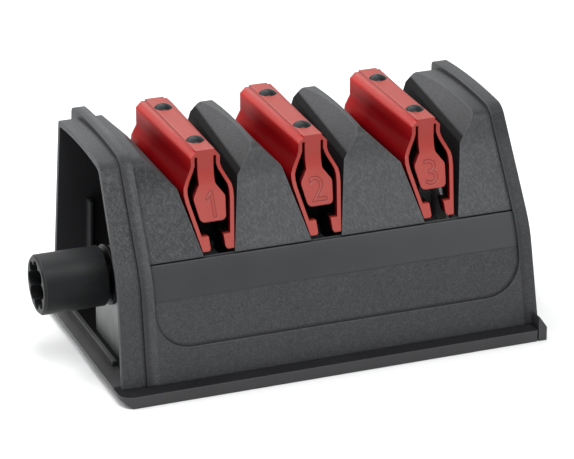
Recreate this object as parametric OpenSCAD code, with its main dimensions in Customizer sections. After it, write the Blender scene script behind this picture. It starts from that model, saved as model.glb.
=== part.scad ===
// Three-stage knife sharpening module: a drop-in head with three spring
// guides over pairs of sprung abrasive disks on one driven shaft.
// X runs along the shaft with the drive coupling at -X, -Y is the front,
// +Z is up, and the origin is the centre of the base plate's underside.

/* [Base plate] */
// Length along the shaft
base_l = 200; // [185:1:220]
// Depth from front to back
base_d = 118; // [114:1:130]
// Thickness at the rim
base_h = 5.4; // [4.8:0.1:6.5]
// Corner radius at the coupling end
base_corner_r = 6; // [2:0.5:12]
// Wall left round the hollow underside
base_wall = 2.6; // [2:0.1:3.5]
// Depth of the pockets in the underside
pocket_depth = 2.6; // [1:0.1:3]
// Width of the undercut below the lip at the coupling end
undercut_w = 5; // [3:0.5:6]
// Height of that undercut
undercut_h = 3.8; // [2:0.1:4.2]
// Width of the upstanding rail on the closed end
rail_w = 4; // [3:0.5:5]
// Height of that rail above the plate
rail_h = 6; // [3:0.5:8]
// Width of the locating rib at the open end
rib_w = 2; // [1.5:0.1:3]
// Height of the locating rib
rib_h = 2.4; // [1:0.1:4]
// Length of the locating rib
rib_l = 64; // [40:1:80]

/* [Housing] */
// Wall thickness of the moulding
wall = 2.5; // [2:0.1:3]
// X of the open end at its foot
open_end_x = -97; // [-99:0.5:-94]
// X of the closed end at its foot
closed_end_x = 99; // [94:0.5:99.5]
// Lean of the open end, degrees
open_end_lean = 1.4; // [0:0.1:2.5]
// Lean of the closed end, degrees
closed_end_lean = 3.2; // [2:0.1:6]
// Y of the front wall's foot
front_foot_y = -50.5; // [-53:0.5:-49]
// Y of the back wall's foot
back_foot_y = 49.3; // [47:0.1:50]
// Lean of the lower front, degrees
low_lean = 7.7; // [4:0.1:9]
// Lean of the upper front, degrees
up_lean = 29.2; // [25:0.1:31]
// Lean of the back, degrees
back_lean = 5.6; // [3:0.1:7]
// Height where the front bends back
bend_z = 50.5; // [48:0.1:54]
// Height of the fins at their ends
top_z = 97; // [95:0.1:100]
// Rise of the crowned top at mid depth
crown = 1.6; // [0.5:0.1:2.5]
// Radius of the bend in the front
bend_r = 40; // [20:1:50]
// Radius of the front top edge
knee_r = 7; // [4:0.5:9]
// Radius of the back top edge
heel_r = 2.5; // [2:0.5:8]
// Width of the plain spigot at the open end
spigot_w = 11; // [8:0.5:14]
// Width of the rim bead beside the spigot
bead_w = 5.5; // [4:0.1:8]
// Width of the rim on the closed end
end_rim_w = 6.4; // [5:0.1:9]
// How far the rims and border stand proud of the front field
rim_proud = 1.2; // [0.6:0.1:2]
// How far they stand proud of the back field
rim_back = 5.5; // [3:0.1:6]
// How far the rim bead stands proud of the back field
bead_back = 8.6; // [6:0.1:9]
// How far the rims stand above the fins
rim_rise = 2.2; // [1.5:0.1:4]
// Height of the field's lower edge
field_z = 20.5; // [16:0.5:26]
// Radius of the field's lower corners
field_r = 16; // [8:1:20]
// Depth of the upright ribs inside the open end
stop_rib_d = 5; // [3:0.5:6]
// Height of those ribs
stop_rib_z = 57; // [40:1:60]
// Depth of the line scored along the top of the smooth strip
score_depth = 0.5; // [0.3:0.1:0.8]
// Width of that line
score_w = 0.7; // [0.4:0.1:1.2]

/* [Knife slots] */
// Centre of the first stage
stage_1_x = -48.6; // [-50:0.1:-46]
// First to second stage
pitch_12 = 49.7; // [48:0.1:51]
// Second to third stage
pitch_23 = 53.7; // [49:0.1:54]
// Height of the slot floor
slot_floor_z = 57.6; // [57:0.1:59]
// Width of the slot at its floor
slot_floor_w = 14.2; // [13:0.1:15]
// Lean of the slot walls, degrees
slot_lean = 14.2; // [13:0.1:15]
// Extra width of the last slot, on its right side
last_slot_out = 1.8; // [0:0.1:2.5]
// Height where the slot's left side opens wider
mouth_z = 86.6; // [85:0.2:90]
// Lean of that mouth, degrees
mouth_lean = 27; // [20:1:32]
// Lean of the bevel on the slot's right side, degrees
lip_lean = 42; // [36:1:46]
// Distance from the stage's middle to that bevel's top edge at the back
lip_reach = 19.7; // [18.5:0.1:20.5]
// Turn of the bevel outwards to the front, degrees
lip_turn = 3.4; // [0:0.1:4]
// Flat left on top of the first fin, beside the rim bead
first_flat = 5.4; // [3:0.1:7]
// Flat left on top of the fins between two slots
fin_flat = 5.8; // [4:0.1:7]
// Reach of the bevel from those flats down into the next slot
fin_bevel = 18; // [16:0.5:20]

/* [Guides] */
// Height of the guide tops
guide_top_z = 99.6; // [97:0.1:103]
// Y of the front end at the top
guide_front_y = -23.5; // [-25:0.5:-21]
// Length of the guides at the top
guide_l = 68; // [64:1:72]
// Width over the shoulders at the front
guide_w = 13.4; // [12:0.1:14]
// Width over the shoulders at the back
guide_back_w = 17.2; // [13.4:0.1:18]
// Width of the raised centre strip at the front
strip_w = 8.6; // [8:0.1:9]
// Width of the raised centre strip at the back
strip_back_w = 8.5; // [7:0.1:9]
// Height of the raised strip above the shoulders
strip_h = 0.8; // [0.5:0.1:2]
// Thickness of the shoulders
shoulder_t = 2.2; // [1.8:0.1:2.8]
// Bevel along the outer edges of the shoulders
shoulder_bevel = 2.5; // [1.5:0.1:2.8]
// Width of the core's stem
stem_w = 7.4; // [6.6:0.1:8]
// Width of the core's bulb
bulb_w = 14.6; // [13:0.1:15]
// Height of the core's underside
bulb_foot_z = 70.2; // [69:0.1:72]
// Thickness of the spring arms
arm_t = 1.8; // [1.4:0.1:2.2]
// Widest reach of the arms from the middle
arm_reach = 11.3; // [10.8:0.1:11.6]
// Gap between the arms' feet and the slot wall
arm_gap = 0.35; // [0.3:0.05:0.8]
// Height of the arms' feet above the slot floor
foot_clear = 1.6; // [1:0.1:3]
// Height of the inward hooks on the feet
hook_h = 5.6; // [4:0.1:7]
// Gap left between the two hooks
hook_gap = 6.8; // [6.4:0.1:8]
// Diameter of the guide rivets' domed heads
rivet_head_d = 8.2; // [7:0.1:8.4]
// Height of the domed heads
rivet_head_h = 1.8; // [1.4:0.1:3]
// Diameter of the rivet shanks
rivet_d = 3.6; // [3:0.1:4]
// Radius where the front of a guide bends into the housing's slope
guide_bend_r = 18; // [8:1:24]
// Spacing of a guide's two rivets
rivet_pitch = 42.3; // [38:0.1:46]

/* [Disks and drive] */
// Y of the shaft
axis_y = -7; // [-8:0.5:-5]
// Height of the shaft
axis_z = 40.8; // [40:0.1:42.5]
// Shaft diameter
shaft_d = 8; // [7:0.5:9]
// Disk diameter
disk_d = 63; // [59:0.5:64]
// Thickness of the coarse and fine disks at the rim
disk_t = 2; // [1.6:0.1:2.4]
// Thickness of the polishing disks
polish_t = 4; // [3:0.1:4.2]
// Distance from the stage's middle to a disk's inner face
disk_offset = 6; // [5.8:0.1:6.4]
// Dish of the coarse and fine disks between hub and rim
disk_dish = 1.6; // [0.5:0.1:2]
// Hub diameter
hub_d = 18; // [16.5:0.5:20]
// Hub length
hub_l = 9; // [8.5:0.1:10]
// How far a disk can slide inwards
disk_travel = 2.2; // [1.5:0.1:2.4]
// Diameter of the cross pins that turn the disks
drive_pin_d = 2.5; // [2:0.1:3]
// Sliding clearance of hubs and bushes on the shaft
slide_clear = 0.05; // [0.02:0.01:0.1]
// Wire of the disk springs
wire_d = 1.2; // [0.9:0.1:1.3]
// Turns of the disk springs
spring_turns = 4; // [3:1:4]
// Mean diameter of the disk springs
spring_d = 12.4; // [11.5:0.1:14]
// Coupling diameter
coupling_d = 26.8; // [25:0.2:30]
// Coupling length
coupling_l = 30; // [28:0.5:34]
// Depth of the coupling's lobed socket
socket_depth = 17; // [14:0.5:18]
// Diameter over the socket's lobes
socket_d = 22.6; // [20:0.2:23]
// Diameter of each lobe
lobe_d = 6.6; // [6:0.1:7.4]
// Number of lobes
lobe_count = 8; // [6:1:10]
// Diameter of the coupling's cross pin
coupling_pin_d = 3; // [2.5:0.1:4]

/* [Brackets and fasteners] */
// Distance from the open end to the left bracket's outer face
bracket_inset = 9; // [8:0.5:11]
// Sheet thickness
sheet_t = 2; // [1.5:0.1:2.5]
// Bracket width
bracket_w = 41; // [38:1:46]
// Height where the bracket's sides lean in to its head
bracket_side_z = 22; // [16:1:28]
// Diameter of the bracket's round head
bracket_head_d = 25; // [20:0.5:26]
// Length of the bracket's foot
bracket_foot = 14; // [12:0.5:18]
// Outside diameter of the flanged bushes
bush_d = 13; // [12:0.5:15]
// Flange diameter of the bushes
flange_d = 27; // [26:0.5:30]
// Flange thickness of the bushes
flange_t = 1.5; // [1:0.1:2]
// Length of the bush behind its flange
bush_l = 6; // [5:0.5:8]
// Fit of screws and bushes in their holes
seat_clear = 0.05; // [0.03:0.01:0.1]
// Screw shank diameter
screw_d = 3.6; // [3:0.1:4]
// Screw head diameter
screw_head_d = 7; // [6:0.1:7.6]
// Screw head height
screw_head_h = 2; // [1.6:0.1:2.4]
// Diameter of the bosses that take the base screws
boss_d = 9; // [8:0.1:9.6]
// Height of those bosses above the base plate
boss_h = 16; // [12:0.5:18]

/* [Hidden] */
$fn = 64;

stages = [stage_1_x, stage_1_x + pitch_12, stage_1_x + pitch_12 + pitch_23];
spigot_end_x = open_end_x + spigot_w;
field_start_x = spigot_end_x + bead_w;
far = 400;
arc_steps = 10;
bite = 0.01;

guide_back_y = guide_front_y + guide_l;
guide_mid_y = guide_front_y + guide_l / 2;
rivet_ys = [guide_mid_y - rivet_pitch / 2, guide_mid_y + rivet_pitch / 2];
rivet_grip = 9;
foot_z = slot_floor_z + foot_clear;
shoulder_z = guide_top_z - strip_h - shoulder_t;
arm_air = 1.8;
arm_wide_z = slot_floor_z + (arm_reach + arm_air - slot_floor_w / 2) / tan(slot_lean);
neck_z = arm_wide_z + 4.4;
neck_h = shoulder_z - neck_z;
neck_out = 0.9;
flare_z = neck_z + 0.4 * neck_h;
skirt_back_z = neck_z + 1.7;
skirt_bite = 0.6;

disk_r = disk_d / 2;
disk_clear = 1.3;
web_w = 2 * (disk_offset - disk_travel) - 1.4;
web_front_y = axis_y - 17;
rail_drop = 4;
rail_low_h = 6;
rail_back_gap = 6;
floor_lip = 1.2;
floor_edge = 0.6;
pin_rest = 0.3;
pin_side_clear = 0.3;
spring_rest = 0.3;
drive_slot_depth = drive_pin_d + disk_travel + 1;
pin_offset = disk_offset + hub_l - drive_slot_depth + drive_pin_d / 2 + pin_rest;

left_bracket_x = open_end_x + bracket_inset;
coupling_gap = 1.8;
coupling_end_x = left_bracket_x - flange_t - coupling_gap;
coupling_x = coupling_end_x - coupling_l;
shaft_start_x = coupling_x + socket_depth;
clip_t = 1;
clip_gap = 0.3;
clip_groove = 0.8;
clip_to_end = 2;
shaft_end_clear = 1.7;
shaft_end_x = closed_end_x - wall - (axis_z - base_h) * tan(closed_end_lean) - shaft_end_clear;
clip_x = shaft_end_x - clip_to_end - clip_t;
right_bracket_x = clip_x - clip_gap - flange_t;
coupling_pin_x = (shaft_start_x + coupling_end_x) / 2;
coupling_pin_turn = -24;

boss_inset = 21;
boss_xs = [open_end_x + boss_inset, stages[0] + pitch_12 / 2, closed_end_x - boss_inset];
boss_bite = 0.5;
boss_front_y = front_foot_y + wall + boss_d / 2 - boss_bite;
boss_back_y = back_foot_y - wall - boss_d / 2;
screw_grip = 11;
bracket_screw_inset = 8;
bracket_screw_reach = bracket_w / 2 - bracket_screw_inset;
bracket_screw_ys = [axis_y - bracket_screw_reach, axis_y + bracket_screw_reach];
bracket_screw_x = bracket_foot / 2 + 1;
pilot_floor = 1;

// Outline of the moulding in the YZ plane, worked out from its leaning edges

function unit(v) = v / norm(v);
function left_of(v) = [-v[1], v[0]];
function shifted(edge, d) = [edge[0] + d * left_of(edge[1]), edge[1]];
function meet(a, b) = a[0] + cross(b[0] - a[0], b[1]) / cross(a[1], b[1]) * a[1];
function fillet(p, q, s, r) =
    let (u = unit(p - q), w = unit(s - q), half = acos(u * w) / 2)
    let (c = q + unit(u + w) * r / sin(half), start = q + u * r / tan(half) - c)
    let (side = cross(q - p, s - q) > 0 ? 1 : -1, sweep = side * (180 - 2 * half))
    [for (i = [0 : arc_steps]) let (a = sweep * i / arc_steps)
        c + [start[0] * cos(a) - start[1] * sin(a), start[0] * sin(a) + start[1] * cos(a)]];

bend_y = front_foot_y + (bend_z - base_h) * tan(low_lean);
low_edge = [[bend_y, bend_z], [sin(low_lean), cos(low_lean)]];
up_edge = [[bend_y, bend_z], [sin(up_lean), cos(up_lean)]];
top_edge = [[0, top_z], [1, 0]];
back_edge = [[back_foot_y, base_h], [sin(back_lean), -cos(back_lean)]];

function field_end(z) = closed_end_x - end_rim_w - (z - base_h) * tan(closed_end_lean);

function front_y(z, out) = let (level = [[0, z], [1, 0]])
    z < bend_z ? meet(shifted(low_edge, out), level)[0] : meet(shifted(up_edge, out), level)[0];

function moulding_outline(out, back_out, rise, z_foot, round_by) =
    let (low = shifted(low_edge, out), up = shifted(up_edge, out))
    let (top = shifted(top_edge, rise), back = shifted(back_edge, back_out))
    let (ground = [[0, z_foot], [1, 0]])
    let (knee = meet(up, top), heel = meet(top, back), bend = meet(low, up))
    let (crown_pts = [for (i = [1 : arc_steps - 1]) let (t = i / arc_steps)
        [knee[0] + (heel[0] - knee[0]) * t, top_z + rise + crown * 4 * t * (1 - t)]])
    concat(
        [meet(low, ground)],
        fillet(meet(low, ground), bend, knee, bend_r + round_by),
        fillet(bend, knee, crown_pts[0], knee_r + round_by),
        crown_pts,
        fillet(crown_pts[arc_steps - 2], heel, meet(back, ground), heel_r + round_by),
        [meet(back, ground)]
    );

module along_x(x0, x1) {
    translate([x0, 0, 0]) rotate([90, 0, 90]) linear_extrude(x1 - x0) children();
}

module along_y(y0, y1) {
    translate([0, y1, 0]) rotate([90, 0, 0]) linear_extrude(y1 - y0) children();
}

module rod(x0, x1, d) {
    translate([x0, axis_y, axis_z]) rotate([0, 90, 0]) cylinder(d = d, h = x1 - x0);
}

// Everything past a leaning end plane that stands at x on the base
module beyond_open_end(x) {
    translate([x, 0, base_h]) rotate([0, open_end_lean, 0]) translate([-far, -far / 2, -far / 2])
        cube(far);
}

module beyond_closed_end(x) {
    translate([x, 0, base_h]) rotate([0, -closed_end_lean, 0]) translate([0, -far / 2, -far / 2])
        cube(far);
}

// Knife slots

lip_z = top_z + crown + rim_rise + 2;

function slot_half(z) = z < mouth_z
    ? slot_floor_w / 2 + (z - slot_floor_z) * tan(slot_lean)
    : slot_floor_w / 2 + (mouth_z - slot_floor_z) * tan(slot_lean) + (z - mouth_z) * tan(mouth_lean);

function slot_out(stage) = stage == len(stages) - 1 ? last_slot_out : 0;

module slot_shape(grow, out) {
    floor_z = slot_floor_z - grow;
    polygon([
        [-slot_half(slot_floor_z) - grow, floor_z],
        [slot_half(slot_floor_z) + out + grow, floor_z],
        [slot_floor_w / 2 + (lip_z - slot_floor_z) * tan(slot_lean) + out + grow, lip_z],
        [-slot_half(lip_z) - grow, lip_z],
        [-slot_half(mouth_z) - grow, mouth_z]
    ]);
}

module slots(grow) {
    for (i = [0 : len(stages) - 1]) translate([stages[i], 0, 0]) along_y(-far / 4, far / 4)
        slot_shape(grow, slot_out(i));
}

// Bevels from the slots' right walls up to the fins' flats, wider towards the front
module lip_bevels(grow) {
    depth = 12;
    for (i = [0 : len(stages) - 1])
        translate([stages[i] + lip_reach + slot_out(i) + grow / cos(lip_lean), back_foot_y, 0])
            rotate([0, 0, lip_turn]) along_y(-far / 4, far / 4) polygon([
                [(lip_z - top_z) * tan(lip_lean), lip_z],
                [-depth, lip_z],
                [-depth, top_z - depth / tan(lip_lean)]
            ]);
}

// Bevels falling from the fins' flats to the slot on their right
module fin_bevels(grow) {
    for (x = [
        field_start_x + first_flat,
        stages[0] + slot_half(top_z) + fin_flat,
        stages[1] + slot_half(top_z) + fin_flat
    ])
        translate([x - grow * sqrt(2), 0, 0]) along_y(-far / 4, far / 4) polygon([
            [0, lip_z],
            [0, top_z],
            [fin_bevel, top_z - fin_bevel],
            [fin_bevel, lip_z]
        ]);
}

// Window of the sunk field, seen from the front
module field_window() {
    head_z = far / 2;
    left_foot = [field_start_x, field_z];
    right_foot = [field_end(field_z), field_z];
    left_head = [field_start_x, head_z];
    right_head = [field_end(head_z), head_z];
    along_y(-far / 4, far / 4) polygon(concat(
        [left_head],
        fillet(left_head, left_foot, right_foot, field_r),
        fillet(left_foot, right_foot, right_head, field_r),
        [right_head]
    ));
}

module housing_skin() {
    difference() {
        union() {
            along_x(open_end_x - 1, spigot_end_x + bite)
                polygon(moulding_outline(0, 0, 0, base_h, 0));
            along_x(spigot_end_x, field_start_x)
                polygon(moulding_outline(rim_proud, bead_back, rim_rise, base_h, rim_proud));
            along_x(spigot_end_x, closed_end_x)
                polygon(moulding_outline(rim_proud, rim_back, rim_rise, base_h, rim_proud));
        }
        difference() {
            field_window();
            along_x(-far / 2, far / 2) polygon(moulding_outline(0, 0, 0, base_h - 1, 0));
        }
        beyond_open_end(open_end_x);
        beyond_closed_end(closed_end_x);
    }
}

module housing_hollow() {
    difference() {
        along_x(open_end_x - 5, closed_end_x)
            polygon(moulding_outline(-wall, -wall, -wall, base_h - 1, -wall / 2));
        slots(wall);
        fin_bevels(wall);
        lip_bevels(wall);
        beyond_closed_end(closed_end_x - wall);
    }
}

// Rail under each guide: it hangs low from the front wall and rises between the disks
module guide_rail() {
    rail_back = back_foot_y - rail_back_gap;
    low_top = slot_floor_z - rail_drop;
    low_foot = low_top - rail_low_h;
    along_x(-web_w / 2, web_w / 2) polygon([
        [front_y(low_foot, 0) + wall / 2, low_foot],
        [web_front_y + rail_low_h, low_foot],
        [web_front_y + 2 * rail_low_h, slot_floor_z - wall],
        [rail_back, slot_floor_z - wall],
        [rail_back, bulb_foot_z],
        [web_front_y, bulb_foot_z],
        [web_front_y, low_top],
        [front_y(low_top, 0) + wall / 2, low_top]
    ]);
}

// Openings in the slot floors, from the front wall back to the disks
module floor_openings() {
    y0 = front_y(slot_floor_z, 0) + floor_lip;
    w = slot_floor_w - 2 * floor_edge;
    for (x = stages) translate([x - w / 2, y0, slot_floor_z - wall - 1])
        cube([w, web_front_y - y0, wall + 2]);
}

// Upright ribs on the front and back walls, a little way in from the open end
module stop_ribs() {
    rib_t = 1.6;
    rib_inset = 15;
    rib_x = open_end_x + rib_inset;
    difference() {
        along_x(rib_x, rib_x + rib_t) polygon(moulding_outline(-wall / 2, -wall / 2, 0, base_h, 0));
        along_x(rib_x - 1, rib_x + rib_t + 1)
            polygon(moulding_outline(-wall - stop_rib_d, -wall - stop_rib_d, 0, base_h - 1, 0));
        translate([rib_x - 1, -far / 2, stop_rib_z]) cube([rib_t + 2, far, far]);
    }
}

module bosses(d, h) {
    for (x = boss_xs, y = [boss_front_y, boss_back_y])
        translate([x, y, base_h]) cylinder(d = d, h = h);
}

module housing() {
    color([0.29, 0.30, 0.31]) difference() {
        union() {
            difference() {
                housing_skin();
                slots(0);
                fin_bevels(0);
                lip_bevels(0);
                housing_hollow();
                for (x = stages)
                    rod(x - disk_offset - polish_t - disk_clear, x + disk_offset + polish_t + disk_clear,
                        disk_d + 2 * disk_clear);
                floor_openings();
            }
            for (x = stages) translate([x, 0, 0]) guide_rail();
            stop_ribs();
            intersection() {
                bosses(boss_d, boss_h);
                along_x(-far / 2, far / 2) polygon(moulding_outline(-wall / 2, -wall / 2, 0, base_h, 0));
            }
        }
        translate([0, 0, -1]) bosses(screw_d + 2 * seat_clear, screw_grip + 1.5);
        for (x = stages, y = rivet_ys)
            translate([x, y, slot_floor_z]) cylinder(d = rivet_d + 2 * seat_clear, h = far / 4);
        along_x(field_start_x, field_end(slot_floor_z))
            translate([front_y(slot_floor_z, 0) - 1, slot_floor_z - score_w])
                square([score_depth + 1, score_w]);
    }
}

// Base plate

module base_outline(inset) {
    r = base_corner_r - min(inset, base_corner_r - 1);
    x0 = -base_l / 2 + inset;
    y0 = base_d / 2 - inset;
    translate([x0 + r, -y0]) square([base_l - 2 * inset - r, 2 * y0]);
    translate([x0, -y0 + r]) square([r + bite, 2 * y0 - 2 * r]);
    for (y = [-y0 + r, y0 - r]) translate([x0 + r, y]) circle(r = r);
}

module screw_sites() {
    for (x = boss_xs, y = [boss_front_y, boss_back_y]) translate([x, y, 0]) children();
}

module bracket_screw_sites() {
    for (x = [left_bracket_x + bracket_screw_x, right_bracket_x - bracket_screw_x])
        for (y = bracket_screw_ys) translate([x, y, 0]) children();
}

module base_plate() {
    pocket_gap = 2.4;
    pocket_count = 5;
    head_land = 4;
    screw_land = 5;
    rib_inset = 6.5;
    rib_y = axis_y + 13;
    rail_flat = 0.6;
    seam_w = 0.7;
    seam_depth = 0.8;
    pocket_x = -base_l / 2 + undercut_w + base_wall;
    pocket_pitch = (base_l / 2 - rail_w - base_wall - pocket_x) / pocket_count;
    color([0.17, 0.17, 0.18]) difference() {
        union() {
            difference() {
                linear_extrude(base_h) base_outline(0);
                for (i = [0 : pocket_count - 1], y = [base_wall - base_d / 2, pocket_gap])
                    translate([pocket_x + i * pocket_pitch + pocket_gap / 2, y, -1])
                        cube([
                            pocket_pitch - pocket_gap,
                            base_d / 2 - base_wall - pocket_gap,
                            pocket_depth + 1
                        ]);
            }
            screw_sites() cylinder(d = screw_head_d + head_land, h = base_h);
            bracket_screw_sites() cylinder(d = screw_d + screw_land, h = base_h);
            translate([-base_l / 2 + rib_inset, rib_y - rib_l / 2, base_h - bite])
                cube([rib_w, rib_l, rib_h]);
            along_y(-base_d / 2, base_d / 2) polygon([
                [base_l / 2 - rail_w, 0],
                [base_l / 2, 0],
                [base_l / 2, base_h + 1],
                [base_l / 2 - rail_w + rail_flat, base_h + rail_h],
                [base_l / 2 - rail_w, base_h + rail_h]
            ]);
        }
        beyond_housing_end();
        for (y = [-base_d / 2 - 1, base_d / 2 - seam_depth])
            translate([base_l / 2 - rail_w - seam_w, y, -1])
                cube([seam_w, seam_depth + 1, base_h + 2]);
        translate([-base_l / 2, 0, 0]) along_y(-base_d, base_d) polygon([
            [-1, undercut_h],
            [0, undercut_h],
            [undercut_w, 0],
            [undercut_w, -1],
            [-1, -1]
        ]);
        screw_sites() {
            translate([0, 0, -1]) cylinder(d = screw_head_d + 0.8, h = screw_head_h + 1.4);
            cylinder(d = screw_d + 2 * seat_clear, h = far);
        }
        bracket_screw_sites() translate([0, 0, pilot_floor])
            cylinder(d = screw_d + 2 * seat_clear, h = far);
    }
}

// Room for the leaning closed end of the housing against the rail
module beyond_housing_end() {
    fit = 0.3;
    difference() {
        translate([base_l / 2 - rail_w - 6, front_foot_y - rim_proud - fit, base_h])
            cube([rail_w + 6, back_foot_y + rim_back - front_foot_y + rim_proud + 2 * fit, far / 4]);
        beyond_closed_end(closed_end_x + fit);
    }
}

module pan_screw(d, length) {
    translate([0, 0, -length]) cylinder(d = d, h = length + bite);
    cylinder(d = screw_head_d, h = screw_head_h * 0.6);
    translate([0, 0, screw_head_h * 0.6])
        cylinder(d1 = screw_head_d, d2 = screw_head_d * 0.7, h = screw_head_h * 0.4);
}

module base_screws() {
    color("dimgray") screw_sites() translate([0, 0, screw_head_h + 0.4]) mirror([0, 0, 1])
        pan_screw(screw_d, screw_grip);
}

// Knife guides

function arm_outer() = [
    [guide_w / 2, shoulder_z + shoulder_t / 2],
    [guide_w / 2, neck_z + 0.64 * neck_h],
    [guide_w / 2 + neck_out, flare_z],
    [arm_reach - 1.4, neck_z],
    [arm_reach - 0.3, arm_wide_z + 2.2],
    [arm_reach, arm_wide_z],
    [arm_reach - 0.25, arm_wide_z - 3],
    [slot_half(foot_z) - arm_gap, foot_z]
];

// Rounds every inner corner of an open line of points
function smooth(line, r) = [for (i = [1 : len(line) - 2])
    each fillet(line[i - 1], line[i], line[i + 1], r)];

// The bulb that carries the stage number, below the stem
module core_shape() {
    bulb_z = bulb_foot_z + 9.2;
    flare = 5;
    taper = 1.5;
    corner = 2.3;
    right = smooth([
        [stem_w / 2, shoulder_z],
        [stem_w / 2, bulb_z + flare],
        [bulb_w / 2, bulb_z],
        [bulb_w / 2 - taper, bulb_foot_z],
        [0, bulb_foot_z]
    ], corner);
    head = shoulder_z + shoulder_t / 2;
    polygon(concat(
        [[stem_w / 2, head]],
        right,
        [for (i = [len(right) - 1 : -1 : 0]) [-right[i][0], right[i][1]]],
        [[-stem_w / 2, head]]
    ));
}

module arm_shape() {
    outer = arm_outer();
    inner = [for (p = outer) p - [arm_t, 0]];
    hook_top = foot_z + hook_h;
    polygon(concat(outer, [for (i = [len(inner) - 1 : -1 : 0]) inner[i]]));
    polygon([
        [slot_half(foot_z) - arm_gap - 0.4, foot_z],
        [slot_half(hook_top) - arm_gap - 1.2, hook_top],
        [hook_gap / 2, hook_top],
        [hook_gap / 2, foot_z + 0.8],
        [hook_gap / 2 + 0.8, foot_z]
    ]);
}

// Plan of a piece that widens or narrows evenly from the guide's front to its back
module guide_plan(front_w, back_w) {
    polygon([
        [-front_w / 2, guide_front_y],
        [front_w / 2, guide_front_y],
        [back_w / 2, guide_back_y],
        [-back_w / 2, guide_back_y]
    ]);
}

module guide_plate(front_w, back_w, z, t) {
    translate([0, 0, z]) linear_extrude(t) guide_plan(front_w, back_w);
}

// Outer walls under the shoulders, which thicken towards the back
module guide_skirts() {
    inner_w = guide_w - 2 * skirt_bite;
    intersection() {
        translate([0, 0, neck_z]) linear_extrude(neck_h + bite) difference() {
            guide_plan(guide_w, guide_back_w);
            translate([-inner_w / 2, guide_front_y - 1]) square([inner_w, guide_l + 2]);
        }
        along_x(-far / 4, far / 4) polygon([
            [guide_front_y, flare_z],
            [guide_back_y, skirt_back_z],
            [guide_back_y, shoulder_z + bite],
            [guide_front_y, shoulder_z + bite]
        ]);
    }
}

// What is cut away to bevel the outer edges of the shoulders
module shoulder_bevels() {
    taper = atan((guide_back_w - guide_w) / 2 / guide_l);
    c = shoulder_bevel;
    corner_z = shoulder_z + shoulder_t;
    for (side = [-1, 1])
        translate([side * guide_w / 2, guide_front_y, corner_z]) rotate([0, 0, -side * taper])
            along_y(-c, guide_l + c) polygon([
                [-side * c, 0],
                [0, -c],
                [side * c, -c],
                [side * c, c],
                [-side * c, c]
            ]);
}

module guide_section() {
    core_shape();
    arm_shape();
    mirror([1, 0]) arm_shape();
}

// Side view of a guide: upright ends, with the front foot following the housing
module guide_side() {
    break_z = meet(up_edge, [[guide_front_y, 0], [0, 1]])[1];
    head = [guide_front_y, guide_top_z + 1];
    front_foot = [front_y(slot_floor_z, 0), slot_floor_z];
    polygon(concat(
        [head],
        fillet(head, [guide_front_y, break_z], front_foot, guide_bend_r),
        [front_foot, [guide_back_y, slot_floor_z], [guide_back_y, guide_top_z + 1]]
    ));
}

module guide(stage) {
    x = stages[stage];
    color([0.78, 0.16, 0.14]) difference() {
        translate([x, 0, 0]) {
            difference() {
                union() {
                    intersection() {
                        along_y(-far / 4, far / 4) guide_section();
                        along_x(-far / 4, far / 4) guide_side();
                    }
                    guide_skirts();
                    guide_plate(guide_w, guide_back_w, shoulder_z, shoulder_t);
                }
                shoulder_bevels();
            }
            guide_plate(strip_w, strip_back_w, shoulder_z + shoulder_t - bite, strip_h + bite);
        }
        for (side = [-1, 1]) {
            inner = x + side * (web_w / 2 + 0.2);
            outer = x + side * (disk_offset + polish_t + disk_clear);
            rod(min(inner, outer), max(inner, outer), disk_d + 2 * disk_clear);
        }
        for (y = rivet_ys) translate([x, y, 0]) cylinder(d = rivet_d + 2 * seat_clear, h = far / 2);
    }
}

module guide_1() { guide(0); }
module guide_2() { guide(1); }
module guide_3() { guide(2); }

module guide_rivets() {
    shank_l = guide_top_z - bulb_foot_z + rivet_grip;
    dome_r = (rivet_head_d * rivet_head_d / 4 + rivet_head_h * rivet_head_h) / (2 * rivet_head_h);
    color([0.24, 0.27, 0.28]) for (x = stages, y = rivet_ys) translate([x, y, guide_top_z]) {
        translate([0, 0, -shank_l]) cylinder(d = rivet_d, h = shank_l + bite);
        intersection() {
            translate([0, 0, rivet_head_h - dome_r]) sphere(r = dome_r);
            cylinder(d = rivet_head_d, h = rivet_head_h);
        }
    }
}

// Bearing brackets, folded from sheet

module bracket_plate() {
    foot_half = bracket_w / 2;
    head_r = bracket_head_d / 2;
    along_x(0, sheet_t) difference() {
        union() {
            polygon([
                [axis_y - foot_half, base_h],
                [axis_y + foot_half, base_h],
                [axis_y + foot_half, bracket_side_z],
                [axis_y + head_r, axis_z],
                [axis_y - head_r, axis_z],
                [axis_y - foot_half, bracket_side_z]
            ]);
            translate([axis_y, axis_z]) circle(r = head_r);
        }
        translate([axis_y, axis_z]) circle(d = bush_d + 2 * seat_clear);
    }
}

module bracket() {
    difference() {
        union() {
            bracket_plate();
            translate([0, axis_y - bracket_w / 2, base_h]) cube([bracket_foot, bracket_w, sheet_t]);
        }
        for (y = bracket_screw_ys) translate([bracket_screw_x, y, 0])
            cylinder(d = screw_d + 2 * seat_clear, h = far / 4);
    }
}

module left_bracket() {
    color([0.72, 0.73, 0.72]) translate([left_bracket_x, 0, 0]) bracket();
}

module right_bracket() {
    color([0.72, 0.73, 0.72]) translate([right_bracket_x, 0, 0]) mirror([1, 0, 0]) bracket();
}

module bracket_screws() {
    color("silver") bracket_screw_sites() translate([0, 0, base_h + sheet_t])
        pan_screw(screw_d, base_h + sheet_t - pilot_floor - 0.3);
}

module bush(x, inward) {
    color([0.10, 0.10, 0.11]) difference() {
        union() {
            rod(min(x, x + inward * bush_l), max(x, x + inward * bush_l), bush_d);
            rod(min(x, x - inward * flange_t), max(x, x - inward * flange_t), flange_d);
        }
        rod(x - bush_l - 1, x + bush_l + 1, shaft_d + 2 * slide_clear);
    }
}

module left_bush() { bush(left_bracket_x, 1); }
module right_bush() { bush(right_bracket_x, -1); }

// Drive

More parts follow.
